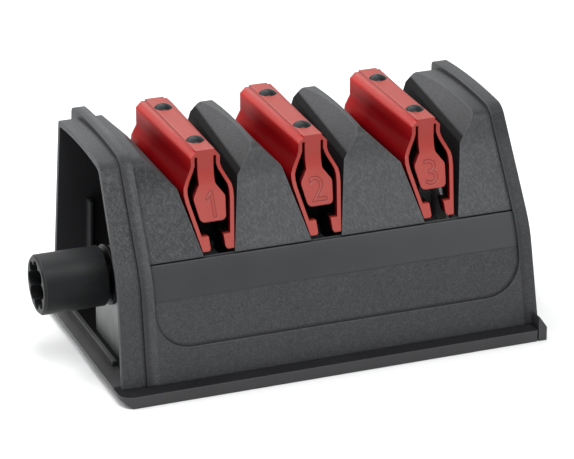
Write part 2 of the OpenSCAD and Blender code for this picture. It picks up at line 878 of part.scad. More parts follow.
module drive_pin_sites() {
    for (x = stages, side = [-1, 1])
        translate([x + side * pin_offset, axis_y, axis_z]) children();
}

module drive_shaft() {
    color("silver") difference() {
        rod(shaft_start_x, shaft_end_x, shaft_d);
        drive_pin_sites() cylinder(d = drive_pin_d + 2 * seat_clear, h = 2 * shaft_d, center = true);
        translate([coupling_pin_x, axis_y, axis_z]) rotate([coupling_pin_turn, 0, 0])
            cylinder(d = coupling_pin_d + 2 * seat_clear, h = 2 * shaft_d, center = true);
        difference() {
            rod(clip_x - 0.1, clip_x + clip_t + 0.1, shaft_d + 2);
            rod(clip_x - 1, clip_x + clip_t + 1, shaft_d - 2 * clip_groove);
        }
    }
}

module drive_pins() {
    color("gray") drive_pin_sites() cylinder(d = drive_pin_d, h = hub_d - 2, center = true);
}

module drive_coupling() {
    lobe_ring = (socket_d - lobe_d) / 2;
    chamfer = 1;
    color([0.18, 0.18, 0.19]) difference() {
        union() {
            rod(coupling_x + chamfer, coupling_end_x - chamfer, coupling_d);
            translate([coupling_x, axis_y, axis_z]) rotate([0, 90, 0])
                cylinder(d1 = coupling_d - 2 * chamfer, d2 = coupling_d, h = chamfer + bite);
            translate([coupling_end_x - chamfer - bite, axis_y, axis_z]) rotate([0, 90, 0])
                cylinder(d1 = coupling_d, d2 = coupling_d - 2 * chamfer, h = chamfer + bite);
        }
        rod(coupling_x - 1, shaft_start_x, 2 * lobe_ring + 1.5);
        for (i = [0 : lobe_count - 1]) let (a = 360 * i / lobe_count)
            translate([0, lobe_ring * cos(a), lobe_ring * sin(a)])
                rod(coupling_x - 1, shaft_start_x, lobe_d);
        rod(shaft_start_x - 1, coupling_end_x + 1, shaft_d + 2 * seat_clear);
        translate([coupling_pin_x, axis_y, axis_z]) rotate([coupling_pin_turn, 0, 0])
            cylinder(d = coupling_pin_d + 2 * seat_clear, h = 2 * coupling_d, center = true);
    }
}

module coupling_pin() {
    color("gray") translate([coupling_pin_x, axis_y, axis_z]) rotate([coupling_pin_turn, 0, 0])
        cylinder(d = coupling_pin_d, h = coupling_d - 1, center = true);
}

module shaft_clip() {
    opening = shaft_d - 2 * clip_groove;
    color("dimgray") difference() {
        rod(clip_x, clip_x + clip_t, shaft_d + 6);
        rod(clip_x - 1, clip_x + clip_t + 1, opening + 2 * seat_clear);
        translate([clip_x - 1, axis_y - opening * 0.4, axis_z - shaft_d - 4])
            cube([clip_t + 2, opening * 0.8, shaft_d + 4]);
    }
}

// Abrasive disks: section in radius and distance from the stage's middle

module hub_shape(bore) {
    translate([bore / 2, 0]) square([hub_d / 2 - bore / 2, hub_l]);
}

module dished_disk_shape(bore) {
    hub_shape(bore);
    polygon([
        [hub_d / 2 - 1, 0],
        [hub_d / 2 + 4, 0],
        [disk_r - 6, disk_dish],
        [disk_r, disk_dish],
        [disk_r, disk_dish + disk_t],
        [disk_r - 6, disk_dish + disk_t],
        [hub_d / 2 + 4, disk_t],
        [hub_d / 2 - 1, disk_t]
    ]);
}

module thick_disk_shape(bore) {
    edge = 0.8;
    hub_shape(bore);
    polygon([
        [hub_d / 2 - 1, 0],
        [disk_r - edge, 0],
        [disk_r, edge],
        [disk_r, polish_t - edge],
        [disk_r - edge, polish_t],
        [hub_d / 2 - 1, polish_t]
    ]);
}

// A disk on its hub; side is -1 on the coupling side of its stage
module disk(stage, side) {
    slot_w = drive_pin_d + 2 * pin_side_clear;
    translate([stages[stage], axis_y, axis_z]) mirror([side < 0 ? 1 : 0, 0, 0]) difference() {
        translate([disk_offset, 0, 0]) rotate([0, 90, 0]) rotate_extrude() children(0);
        translate([disk_offset + hub_l - drive_slot_depth, -slot_w / 2, -hub_d / 2 - 1])
            cube([drive_slot_depth + 1, slot_w, hub_d + 2]);
    }
}

module coarse_disk_left() {
    color([0.45, 0.45, 0.44]) disk(0, -1) dished_disk_shape(shaft_d + 2 * slide_clear);
}
module coarse_disk_right() {
    color([0.45, 0.45, 0.44]) disk(0, 1) dished_disk_shape(shaft_d + 2 * slide_clear);
}
module fine_disk_left() {
    color([0.55, 0.55, 0.54]) disk(1, -1) dished_disk_shape(shaft_d + 2 * slide_clear);
}
module fine_disk_right() {
    color([0.55, 0.55, 0.54]) disk(1, 1) dished_disk_shape(shaft_d + 2 * slide_clear);
}
module polish_disk_left() {
    color([0.70, 0.70, 0.68]) disk(2, -1) thick_disk_shape(shaft_d + 2 * slide_clear);
}
module polish_disk_right() {
    color([0.70, 0.70, 0.68]) disk(2, 1) thick_disk_shape(shaft_d + 2 * slide_clear);
}

// Disk springs: one tube swept along a helix whose ends run straight

rings_per_turn = 8;
tube_sides = 6;
spring_room = 2 * (disk_offset - spring_rest);
helix_rise = spring_room - wire_d;
helix_steps = spring_turns * rings_per_turn;

function helix_point(i) = let (a = 360 * i / rings_per_turn)
    [-helix_rise / 2 + helix_rise * i / helix_steps, spring_d / 2 * cos(a), spring_d / 2 * sin(a)];

function spring_path() = let (
        body = [for (i = [0 : helix_steps]) helix_point(i)],
        step = helix_point(1) - helix_point(0),
        tail = wire_d * unit([0, step[1], step[2]])
    ) concat([body[0] - tail], body, [body[helix_steps] + tail]);

function ring(path, i) = let (
        last = len(path) - 1,
        along = unit(path[min(i + 1, last)] - path[max(i - 1, 0)]),
        out = unit(cross(along, [1, 0, 0])),
        up = cross(out, along)
    ) [for (k = [0 : tube_sides - 1]) let (a = 360 * k / tube_sides)
        path[i] + wire_d / 2 * (cos(a) * out + sin(a) * up)];

function spring_gap(path) = min([for (i = [0 : len(path) - 1])
    for (j = [i + rings_per_turn - 2 : 1 : len(path) - 1]) norm(path[i] - path[j])]) - wire_d;

module spring(stage) {
    path = spring_path();
    last = len(path) - 1;
    points = [for (i = [0 : last]) each ring(path, i)];
    sides = [for (i = [0 : last - 1], k = [0 : tube_sides - 1])
        let (a = i * tube_sides + k, b = i * tube_sides + (k + 1) % tube_sides)
        each [[a, a + tube_sides, b], [b, a + tube_sides, b + tube_sides]]];
    start_cap = [for (k = [1 : tube_sides - 2]) [0, k, k + 1]];
    end_cap = [for (k = [1 : tube_sides - 2])
        [last * tube_sides, last * tube_sides + k + 1, last * tube_sides + k]];
    echo(str("least gap between the turns of spring ", stage + 1), spring_gap(path));
    color("silver") translate([stages[stage], axis_y, axis_z])
        polyhedron(points, concat(sides, start_cap, end_cap));
}

module coarse_spring() { spring(0); }
module fine_spring() { spring(1); }
module polish_spring() { spring(2); }

housing();
base_plate();
base_screws();
guide_1();
guide_2();
guide_3();
guide_rivets();
left_bracket();
right_bracket();
bracket_screws();
left_bush();
right_bush();
drive_shaft();
drive_coupling();
coupling_pin();
drive_pins();
shaft_clip();
coarse_disk_left();
coarse_disk_right();
fine_disk_left();
fine_disk_right();
polish_disk_left();
polish_disk_right();
coarse_spring();
fine_spring();
polish_spring();
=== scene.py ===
"""Looks of the three-stage knife sharpening module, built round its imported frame."""

import math

import bmesh
import bpy
from mathutils import Matrix, Vector


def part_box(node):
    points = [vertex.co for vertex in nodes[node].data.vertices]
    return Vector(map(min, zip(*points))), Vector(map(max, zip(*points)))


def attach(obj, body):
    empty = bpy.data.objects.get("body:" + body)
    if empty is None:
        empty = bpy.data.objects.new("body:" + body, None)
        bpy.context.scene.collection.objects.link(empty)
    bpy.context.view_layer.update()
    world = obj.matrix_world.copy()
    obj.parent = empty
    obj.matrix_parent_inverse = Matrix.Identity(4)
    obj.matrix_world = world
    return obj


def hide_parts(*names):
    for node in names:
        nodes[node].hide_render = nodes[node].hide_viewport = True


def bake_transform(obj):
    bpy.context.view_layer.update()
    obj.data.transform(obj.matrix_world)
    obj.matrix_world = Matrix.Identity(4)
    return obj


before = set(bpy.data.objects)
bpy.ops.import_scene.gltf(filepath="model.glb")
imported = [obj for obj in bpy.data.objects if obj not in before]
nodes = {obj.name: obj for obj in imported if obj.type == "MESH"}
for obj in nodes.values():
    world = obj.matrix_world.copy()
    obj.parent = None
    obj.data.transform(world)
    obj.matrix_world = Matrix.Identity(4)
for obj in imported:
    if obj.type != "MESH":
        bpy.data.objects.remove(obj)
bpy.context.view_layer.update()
scene = bpy.context.scene

MM = 0.001

# Sizes shared with the frame, in millimetres and degrees
STAGES = (-48.6, 1.1, 54.8)
AXIS_Y, AXIS_Z = -7.0, 40.8
FIELD_START_X, FIELD_END_X = -80.5, 89.6
LOW_LEAN, UP_LEAN, END_LEAN = 7.7, 29.2, 3.2
BEND_Y, BEND_Z = -44.4, 50.5
GUIDE_FRONT_Y, GUIDE_TOP_Z = -23.5, 99.6
RIVET_YS = (-10.65, 31.65)
DISK_R, HUB_R = 31.5, 14.5
BASE_SCREW_XS, BASE_SCREW_YS, BASE_SCREW_Z = (-76.0, -23.75, 78.0), (-44.0, 42.3), 2.4
BRACKET_SCREW_XS, BRACKET_SCREW_YS, BRACKET_SCREW_Z = (-80.0, 80.02), (-19.5, 5.5), 7.4

# Half width of a guide over its arms at each height
ARM_LINE = ((59.2, 7.15), (78.3, 11.05), (81.3, 11.3), (85.7, 9.9), (90.0, 7.6), (92.7, 6.7), (99.6, 6.7))

# Heads and shanks of the fasteners
RIVET = {"Head_diameter": 8.2 * MM, "Head_height": 1.8 * MM, "Shank_diameter": 3.6 * MM}
SCREW = {"Head_diameter": 7.0 * MM, "Head_height": 2.0 * MM, "Shank_diameter": 3.6 * MM}
RIVET_LENGTH, BASE_SCREW_LENGTH, BRACKET_SCREW_LENGTH = 38.3 * MM, 11.0 * MM, 6.1 * MM

# Engraved numerals, and the outline of the 1, which the font draws as a bare stroke
NUMERAL_Z, NUMERAL_SIZE, NUMERAL_LINE_R = 76.7, 15.8, 0.24
ONE_LINE = ((0.5, 5.8), (0.5, -5.8), (-0.8, -5.8), (-0.8, 3.4), (-2.2, 1.8), (-3.0, 2.6), (-0.5, 5.8))

# Where the finish of the housing, and the shade and light painted on it, change
SLOT_HALF, SLOT_FLOOR_Z, SLOT_SHADE_TOP_Z = 6.6, 57.0, 71.5
SHADED_SLOTS_END_X = 29.0
ROOF_Z, ROOF_BACK_Y, END_WALL_X = 85.0, 38.0, -65.0
LIP_FRONT_Y, LIP_FRONT_Z, LIP_BACK_Y, LIP_BACK_Z = -22.0, 88.8, 42.0, 94.9
FIRST_SLOT_X, FIN_HALF = -64.5, 26.0
FIELD_FACE_Y, STRIP_LOW_Z, STRIP_TOP_Z = -39.0, 41.85, 56.65
BEAD_START_X, BEAD_END_X, RIM_START_X = -86.2, -80.7, 92.7
FIN_FOOT_Z, FIN_CREASE_Z, FIN_TOP_Z = 56.0, 82.5, 88.5
FIN_SHADE_END_Y = 10.0
BRIGHT_START_X, BRIGHT_X = -50.0, -30.0
STRIP_LIGHT_START_X, STRIP_LIGHT_X = -30.0, 90.0

# Where the finish of the base and of the guides, and the shade and light painted on them, change
LEDGE_BACK_Y, END_RAIL_X, BASE_FLOOR_Z = -47.0, -91.5, 5.6
GUIDE_STRIP_Z, BULB_Z, STEM_Z = 96.4, 80.0, 91.0
CORE_LOW_Z, CORE_HIGH_Z, CORE_HALF = 66.8, 85.4, 7.4
SHOULDER_Z, AIRY_TOP_Z, AIRY_START_Y, AIRY_BACK_Y = 82.0, 98.5, 20.0, 56.0

# Angles above which an edge stays crisp, in degrees
CRISP, HOUSING_CRISP = 26, 18

# The photograph's view
CAMERA_AT = Vector((-476.996, -1228.135, 607.246)) * MM
CAMERA_AZIMUTH, CAMERA_ELEVATION = -21.1515, 23.0874
LENS, SENSOR_WIDTH = 200.645, 36.0

# Soft lights: place, height aimed at and size in metres, and power in watts
LIGHTS = {
    "overhead": ((-0.35, 0.70, 1.35), 0.05, (1.8, 1.5), 26.0),
    "front": ((-0.10, -0.85, 1.80), 0.05, (1.0, 0.9), 27.5),
    "left": ((-1.30, 0.55, 0.90), 0.06, (0.9, 0.9), 5.0),
    "right": ((1.40, 0.20, 0.60), 0.06, (0.8, 0.8), 1.5),
}
ROOM_FILL = 0.32
FLOOR_GIVEN, FLOOR_SHOWN, FLOOR_HALF = 0.76, 0.86, 6.0


def photo_camera():
    az, el = math.radians(CAMERA_AZIMUTH), math.radians(CAMERA_ELEVATION)
    back = Vector((math.sin(az) * math.cos(el), -math.cos(az) * math.cos(el), math.sin(el)))
    right = (-back).cross(Vector((0, 0, 1))).normalized()
    up = back.cross(right)
    data = bpy.data.cameras.new("photo_camera")
    data.sensor_fit = "HORIZONTAL"
    data.sensor_width = SENSOR_WIDTH
    data.lens = LENS
    data.clip_start, data.clip_end = 0.05, 20.0
    camera = bpy.data.objects.new("photo_camera", data)
    turn = Matrix((right, up, back)).transposed()
    camera.matrix_world = Matrix.Translation(CAMERA_AT) @ turn.to_4x4()
    scene.collection.objects.link(camera)
    scene.camera = camera


class Wiring:
    """A node tree being wired."""

    def __init__(self, tree):
        self.tree = tree

    def link(self, source, target):
        self.tree.links.new(source, target)

    def put(self, value, socket):
        if isinstance(value, bpy.types.NodeSocket):
            self.link(value, socket)
        else:
            socket.default_value = value

    def node(self, kind, settings=None, numbered=(), **inputs):
        made = self.tree.nodes.new(kind)
        for key, value in (settings or {}).items():
            setattr(made, key, value)
        for index, value in numbered:
            self.put(value, made.inputs[index])
        for key, value in inputs.items():
            self.put(value, made.inputs[key.replace("_", " ")])
        return made

    def math(self, operation, a, b=0.0):
        return self.node("ShaderNodeMath", {"operation": operation}, ((0, a), (1, b))).outputs[0]

    def chain(self, operation, *values):
        total = values[0]
        for value in values[1:]:
            total = self.math(operation, total, value)
        return total

    def product(self, *values):
        return self.chain("MULTIPLY", *values)

    def most(self, *values):
        return self.chain("MAXIMUM", *values)


class Finish(Wiring):
    """A material being wired: a principled shader and the nodes that feed it."""

    def __init__(self, name, metallic=0.0, specular=0.5):
        self.material = bpy.data.materials.new(name)
        self.material.use_nodes = True
        super().__init__(self.material.node_tree)
        self.shader = self.tree.nodes["Principled BSDF"]
        self.shader.inputs["Metallic"].default_value = metallic
        self.shader.inputs["Specular IOR Level"].default_value = specular
        texture = self.node("ShaderNodeTexCoord")
        self.coords, self.facing = texture.outputs["Object"], texture.outputs["Normal"]

    def locate(self):
        """Reads where a point lies and which way it faces."""
        self.x, self.y, self.z = self.parts(self.coords)
        self.faces_x, self.faces_y, self.faces_z = self.parts(self.facing)

    def feed(self, socket, source):
        self.link(source, self.shader.inputs[socket])

    def noise(self, scale, detail=2.0, rough=0.5, coords=None):
        made = self.node(
            "ShaderNodeTexNoise", Vector=coords or self.coords, Scale=scale, Detail=detail, Roughness=rough
        )
        return made.outputs["Fac"]

    def stretched(self, scale, turn=0.0):
        """Coordinates drawn out along one way, turned by an angle about the depth."""
        made = self.node("ShaderNodeMapping", {"vector_type": "TEXTURE"}, Vector=self.coords)
        made.inputs["Scale"].default_value = tuple(1 / s for s in scale)
        made.inputs["Rotation"].default_value = (0.0, math.radians(turn), 0.0)
        return made.outputs["Vector"]

    def span(self, value, low, high, to_low=0.0, to_high=1.0):
        made = self.node("ShaderNodeMapRange", Value=value)
        made.inputs["From Min"].default_value, made.inputs["From Max"].default_value = low, high
        made.inputs["To Min"].default_value, made.inputs["To Max"].default_value = to_low, to_high
        return made.outputs["Result"]

    def fade(self, value, start, end, first, last):
        """Goes from a first to a last value between two places in millimetres."""
        return self.span(value, start * MM, end * MM, first, last)

    def past(self, place, start, over=0.4):
        """0 up to a start and 1 past it, over a soft step, in millimetres."""
        return self.span(place, start * MM, (start + over) * MM)

    def short_of(self, place, end, over=0.4):
        """1 up to an end and 0 past it, over a soft step, in millimetres."""
        return self.span(place, (end + over) * MM, end * MM)

    def without(self, mask):
        return self.math("SUBTRACT", 1.0, mask)

    def ramp(self, value, *stops):
        made = self.node("ShaderNodeValToRGB", Fac=value)
        ramp = made.color_ramp
        while len(ramp.elements) < len(stops):
            ramp.elements.new(0.5)
        for element, (place, colour) in zip(ramp.elements, stops):
            element.position = place
            element.color = (*colour, 1.0)
        return made.outputs["Color"]

    def mix(self, factor, a, b):
        a, b = (v if isinstance(v, bpy.types.NodeSocket) else (*v, 1.0) for v in (a, b))
        return self.node("ShaderNodeMix", {"data_type": "RGBA"}, ((0, factor), (6, a), (7, b))).outputs[2]

    def blend(self, factor, a, b):
        return self.node("ShaderNodeMix", {"data_type": "FLOAT"}, ((0, factor), (2, a), (3, b))).outputs[0]

    def rounding(self, radius):
        """Normal that rounds the edges by a radius."""
        return self.node("ShaderNodeBevel", {"samples": 6}, Radius=radius).outputs["Normal"]

    def bump(self, height, strength, distance, under=None):
        made = self.node("ShaderNodeBump", Height=height, Strength=strength, Distance=distance)
        if under is not None:
            self.link(under, made.inputs["Normal"])
        return made.outputs["Normal"]

    def parts(self, vector):
        made = self.node("ShaderNodeSeparateXYZ", Vector=vector)
        return made.outputs["X"], made.outputs["Y"], made.outputs["Z"]

    def from_stage(self):
        """Distance sideways from the middle of the nearest stage."""
        away = [self.math("ABSOLUTE", self.math("SUBTRACT", self.x, stage * MM)) for stage in STAGES]
        return self.chain("MINIMUM", *away)

    def behind_front(self):
        """Distance behind the front of the fins and guides, which bends back twice."""
        above = self.math("SUBTRACT", self.z, BEND_Z * MM)
        slopes = [math.tan(math.radians(lean)) for lean in (LOW_LEAN, UP_LEAN)]
        set_back = self.most(*(self.math("MULTIPLY", above, slope) for slope in slopes))
        front = self.math("ADD", set_back, BEND_Y * MM)
        return self.math("SUBTRACT", self.y, self.math("MINIMUM", front, GUIDE_FRONT_Y * MM))

    def corners(self, reach):
        """Light that reaches into the corners of a piece, 1 out in the open."""
        made = self.node("ShaderNodeAmbientOcclusion", {"samples": 4, "only_local": True}, Distance=reach)
        return made.outputs["AO"]

    def edges(self, soft):
        """How far an edge is rounded here, 0 on the flat."""
        flat = self.node("ShaderNodeNewGeometry").outputs["True Normal"]
        made = self.node("ShaderNodeVectorMath", {"operation": "DOT_PRODUCT"}, ((0, soft), (1, flat)))
        return self.span(made.outputs["Value"], 0.985, 0.90)


def srgb(*rgb):
    """Linear colour from 0-255 display values."""
    return tuple((c / 255 / 12.92) if c <= 10 else ((c / 255 + 0.055) / 1.055) ** 2.4 for c in rgb)


# Near black, for painted shade and for the dark line under the strip.
SHADE_AND_LINE_BLACK = srgb(16, 16, 17)


def housing_inside(f):
    """Masks of where shade is painted on the housing: inside the slots, inside the open end, and on the
    wall beside each guide below its lip.
    """
    away = f.from_stage()
    behind = f.behind_front()
    # Painted shade deep in the slots, under the guides.
    slot_shade = f.product(
        f.short_of(away, SLOT_HALF, 0.6),
        f.short_of(f.z, SLOT_SHADE_TOP_Z, 1.5),
        f.past(f.z, SLOT_FLOOR_Z),
        f.past(behind, 0.8, 1.2),
        f.short_of(f.x, SHADED_SLOTS_END_X, 1.0),
    )
    under_roof = f.product(
        f.past(behind, 1.4, 0.5), f.short_of(f.z, ROOF_Z, 1.0), f.short_of(f.y, ROOF_BACK_Y, 0.5)
    )
    back_wall = f.product(f.span(f.faces_y, -0.5, -0.8), f.past(f.y, 0.0, 2.0))
    # Painted shade inside the open end.
    end_shade = f.product(
        f.most(under_roof, back_wall), f.short_of(f.x, END_WALL_X, 1.0), f.span(f.faces_x, -0.95, -0.80)
    )
    lip_z = f.fade(f.y, LIP_FRONT_Y, LIP_BACK_Y, LIP_FRONT_Z * MM, LIP_BACK_Z * MM)
    # Painted shade on the wall beside each guide, below the lip's lower edge.
    lip_wall_shade = f.product(
        f.span(f.faces_x, -0.35, -0.50),
        f.short_of(f.math("SUBTRACT", f.z, lip_z), -0.4, 0.8),
        f.past(f.x, FIRST_SLOT_X, 1.0),
        f.short_of(away, FIN_HALF, 1.0),
        f.past(f.z, SLOT_FLOOR_Z),
    )
    return slot_shade, end_shade, lip_wall_shade


def housing_strip(f):
    """Masks of the satin strip across the front field and of the thin line under it."""
    in_field = f.product(
        f.short_of(f.y, FIELD_FACE_Y, 0.5),
        f.past(f.x, FIELD_START_X - 0.2),
        f.short_of(f.x, FIELD_END_X + 0.8),
    )
    in_strip = f.product(in_field, f.past(f.z, STRIP_LOW_Z, 0.3), f.short_of(f.z, STRIP_TOP_Z, 0.3))
    strip_line = f.product(
        in_field, f.past(f.z, STRIP_LOW_Z - 0.5, 0.35), f.short_of(f.z, STRIP_LOW_Z + 0.2, 0.35)
    )
    return in_strip, strip_line


def eroded_grain():
    """Dark grey moulding with a spark-eroded grain and a satin strip across the front, with painted shade
    in its hollows and folds and painted highlights on its edges and fronts.
    """
    f = Finish("eroded_grain", specular=0.36)
    f.locate()
    slot_shade, end_shade, lip_wall_shade = housing_inside(f)
    # Where shade is painted inside the housing.
    inner_shade = f.most(slot_shade, end_shade, lip_wall_shade)
    in_strip, strip_line = housing_strip(f)

    bead = f.product(f.past(f.x, BEAD_START_X), f.short_of(f.x, BEAD_END_X))
    # Painted shade on the bead's rounded left side, darkest at its left foot.
    bead_shade = f.product(bead, f.fade(f.x, BEAD_START_X + 0.6, BEAD_START_X + 3.0, 0.70, 0.0))
    # Painted highlight on the bead's right half, broken into streaks along its length.
    streaks = f.noise(1.0, 3.0, 0.6, f.stretched((1500, 260, 160)))
    bead_highlight = f.product(
        bead, f.past(f.x, BEAD_START_X + 2.4, 1.6), f.span(streaks, 0.35, 0.65, 0.05, 0.30)
    )
    leaning_x = f.math("ADD", f.x, f.math("MULTIPLY", f.z, math.tan(math.radians(END_LEAN))))
    rim = f.past(leaning_x, RIM_START_X)
    # Painted shade on the rim, strongest on its rounded left side.
    rim_shade = f.product(rim, f.fade(leaning_x, RIM_START_X + 0.4, RIM_START_X + 3.3, 0.60, 0.20))
    # Painted shade about the fold between the fins' tops and fronts: on the tops towards the front, on the
    # fronts towards the top.
    above = f.product(f.span(f.faces_z, 0.55, 0.75), f.fade(f.y, GUIDE_FRONT_Y, FIN_SHADE_END_Y, 0.55, 0.0))
    below = f.product(
        f.span(f.faces_y, -0.60, -0.80),
        f.fade(f.z, FIN_CREASE_Z, FIN_TOP_Z, 0.0, 0.35),
        f.past(f.x, BEAD_END_X),
    )
    crease_shade = f.most(above, below)
    painted_shade = f.most(bead_shade, rim_shade, crease_shade)
    fin_front = f.product(f.past(f.z, FIN_FOOT_Z, 4.0), f.span(f.faces_y, -0.5, -0.8), f.without(rim))
    # Painted light on the fins' fronts, growing towards the right.
    bright = f.product(fin_front, f.fade(f.x, BRIGHT_START_X, BRIGHT_X, 0.0, 1.0))

    grain = f.noise(1300, 3.0, 0.62)
    mottle = f.noise(420, 3.0, 0.6)
    cloud = f.noise(45, 2.0, 0.5)
    tone = f.span(f.blend(0.28, grain, mottle), 0.33, 0.67)
    tone = f.blend(0.20, tone, cloud)
    scuffs = [f.noise(1.0, 4.0, 0.7, f.stretched((1250, 400, 400), turn)) for turn in (28, -40)]
    scuffed = f.math("SUBTRACT", f.most(*scuffs), 0.54)
    contrast = f.fade(f.x, BRIGHT_START_X, BRIGHT_X, 3.8, 6.0)
    tone = f.math("ADD", tone, f.product(fin_front, scuffed, contrast))
    coarse = f.ramp(tone, (0.0, srgb(40, 41, 43)), (0.5, srgb(55, 56, 58)), (1.0, srgb(76, 77, 79)))
    satin = f.ramp(cloud, (0.3, srgb(47, 48, 50)), (0.7, srgb(52, 53, 55)))
    # Painted light on the satin strip, growing towards its right end.
    strip_right_light = f.fade(f.x, STRIP_LIGHT_START_X, STRIP_LIGHT_X, 0.0, 1.0)
    satin = f.mix(strip_right_light, satin, srgb(62, 63, 65))

    soft = f.rounding(f.span(f.most(bead, rim), 0.0, 1.0, 0.9 * MM, 1.8 * MM))
    open_air = f.corners(1.6 * MM)
    shadow = f.span(open_air, 0.45, 0.95, 0.8, 0.0)
    # Painted highlight along the rounded edges, kept out of the corners.
    edge = f.product(f.edges(soft), f.span(open_air, 0.95, 1.0))
    skin = f.mix(bead_highlight, f.mix(in_strip, coarse, satin), srgb(100, 101, 103))
    skin = f.mix(f.math("MULTIPLY", strip_line, 0.35), skin, SHADE_AND_LINE_BLACK)
    # Painted shade on the bead, the rim and about the fins' fold.
    skin = f.mix(painted_shade, skin, SHADE_AND_LINE_BLACK)
    # Painted light on the fins' fronts.
    skin = f.mix(f.math("MULTIPLY", bright, 0.30), skin, srgb(92, 93, 95))
    skin = f.mix(f.math("MULTIPLY", edge, 0.30), skin, srgb(104, 105, 107))
    skin = f.mix(shadow, skin, srgb(14, 14, 15))
    # Painted shade: near black in the slots, dark grey on the walls beside the guides, grey inside the open
    # end.
    dark = f.mix(end_shade, f.mix(lip_wall_shade, SHADE_AND_LINE_BLACK, srgb(27, 27, 28)), srgb(50, 50, 52))
    f.feed("Base Color", f.mix(inner_shade, skin, dark))
    f.feed("Specular IOR Level", f.span(f.most(inner_shade, shadow, crease_shade), 0.0, 1.0, 0.36, 0.05))
    f.feed("Roughness", f.blend(in_strip, f.span(mottle, 0.3, 0.7, 0.50, 0.64), 0.46))
    pits = f.math("ADD", grain, f.math("MULTIPLY", mottle, 0.5))
    f.feed("Normal", f.bump(f.product(pits, f.without(in_strip)), 0.50, 0.22 * MM, soft))
    return f.material


def black_moulding(name, grey, roughness, grain_scale=900, strength=0.25, round_by=0.5, gloss=0.5):
    """Black moulding with a faint grain, dull on a ledge along the front and shinier at the open end, with
    painted shade in its corners, on that ledge and on the floor inside, and painted highlights along its
    edges.
    """
    f = Finish(name, specular=gloss)
    f.locate()
    up = f.span(f.faces_z, 0.5, 0.9)
    ledge = f.product(up, f.short_of(f.y, LEDGE_BACK_Y, 2.0))
    end = f.product(f.short_of(f.x, END_RAIL_X - 0.5, 0.5), f.past(f.y, LEDGE_BACK_Y, 2.0))
    floor = f.product(
        up, f.past(f.x, END_RAIL_X), f.past(f.y, LEDGE_BACK_Y + 2.5, 0.5), f.short_of(f.z, BASE_FLOOR_Z)
    )
    soft = f.rounding(round_by * MM)
    open_air = f.corners(4.0 * MM)
    # Painted shade in the corners, on the floor inside and on the front ledge.
    shadow = f.most(
        f.span(open_air, 0.45, 0.95, 0.8, 0.0),
        f.math("MULTIPLY", floor, 0.85),
        f.math("MULTIPLY", ledge, 0.35),
    )
    # Painted highlight along the rounded edges, kept out of the corners.
    edge = f.product(f.edges(soft), f.span(open_air, 0.90, 1.0))
    shine = f.blend(ledge, f.blend(end, gloss, min(1.0, 2.0 * gloss)), 0.0)
    f.feed("Specular IOR Level", f.blend(shadow, shine, 0.0))
    grain = f.noise(grain_scale, 3.0, 0.6)
    cloud = f.noise(60, 2.0, 0.5)
    low, high = srgb(*(c - 5 for c in grey)), srgb(*(c + 6 for c in grey))
    skin = f.ramp(f.blend(0.3, grain, cloud), (0.35, low), (0.65, high))
    skin = f.mix(f.math("MULTIPLY", edge, 0.60), skin, srgb(92, 92, 94))
    f.feed("Base Color", f.mix(shadow, skin, srgb(7, 7, 8)))
    f.feed("Roughness", f.span(grain, 0.3, 0.7, roughness - 0.06, roughness + 0.08))
    f.feed("Normal", f.bump(grain, strength, 0.15 * MM, soft))
    return f.material


